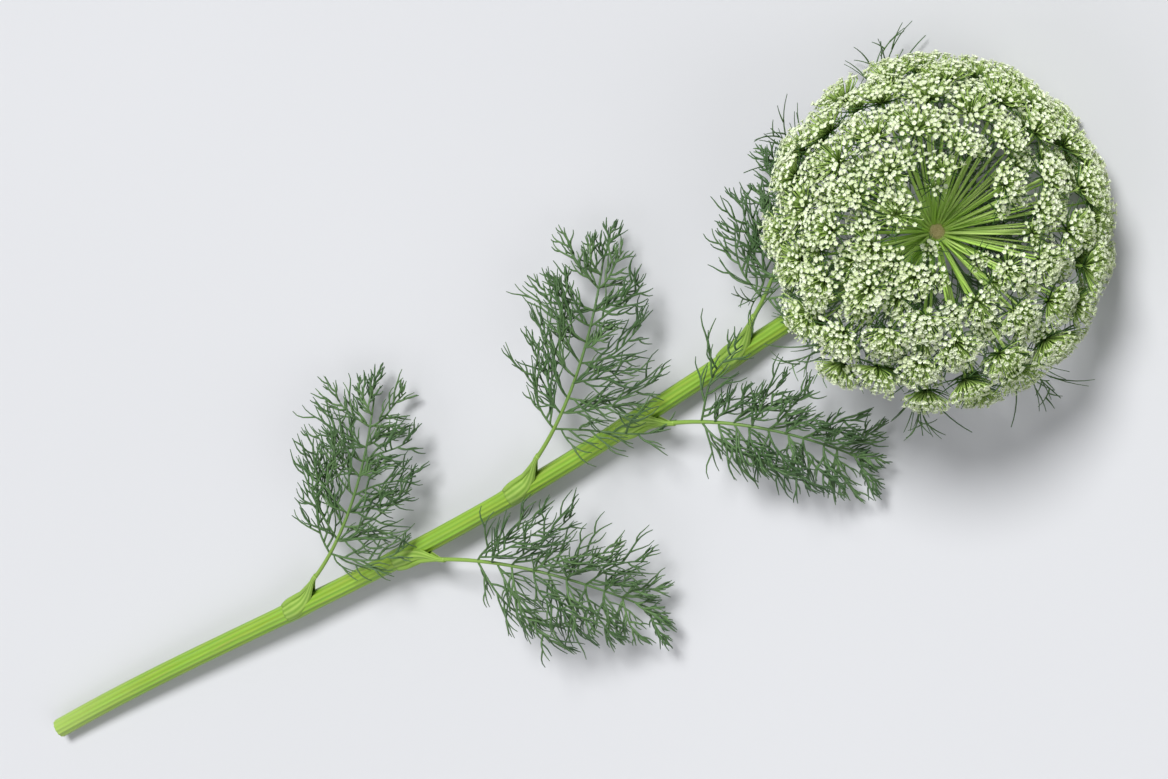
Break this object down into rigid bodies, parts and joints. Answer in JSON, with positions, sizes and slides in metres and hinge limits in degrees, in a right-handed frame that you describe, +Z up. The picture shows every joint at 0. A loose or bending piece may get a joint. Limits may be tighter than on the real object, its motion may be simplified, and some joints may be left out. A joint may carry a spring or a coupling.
{
  "type": "casablanca toothpick weed",
  "caption": "Cut flower stem lying down: ribbed green stem, feathery thread leaves and a nodding domed umbel of tiny white florets turned upward.",
  "frame": {"origin": "on the surface that the stem lies on, under the middle of its bounding box", "axes": "+Z up from the surface, +Y along the stem from the cut end towards the umbel, +X to the right of that"},
  "size_m": [0.1642, 0.5678, 0.0957],
  "materials": {
    "stem": "satin, fine ribs, living green stem skin",
    "bract": "matte grey-green leaf tissue",
    "umbel": "matte, white petals over green stalks",
    "leaf": "matte dark green leaf tissue with a faint bloom"
  },
  "bodies": {
    "root": {"stem": "stem", "bracts": "bract", "umbel": "umbel", "leaf_1": "leaf", "leaf_2": "leaf", "leaf_3": "leaf", "leaf_4": "leaf", "leaf_5": "leaf"}
  },
  "joints": []
}
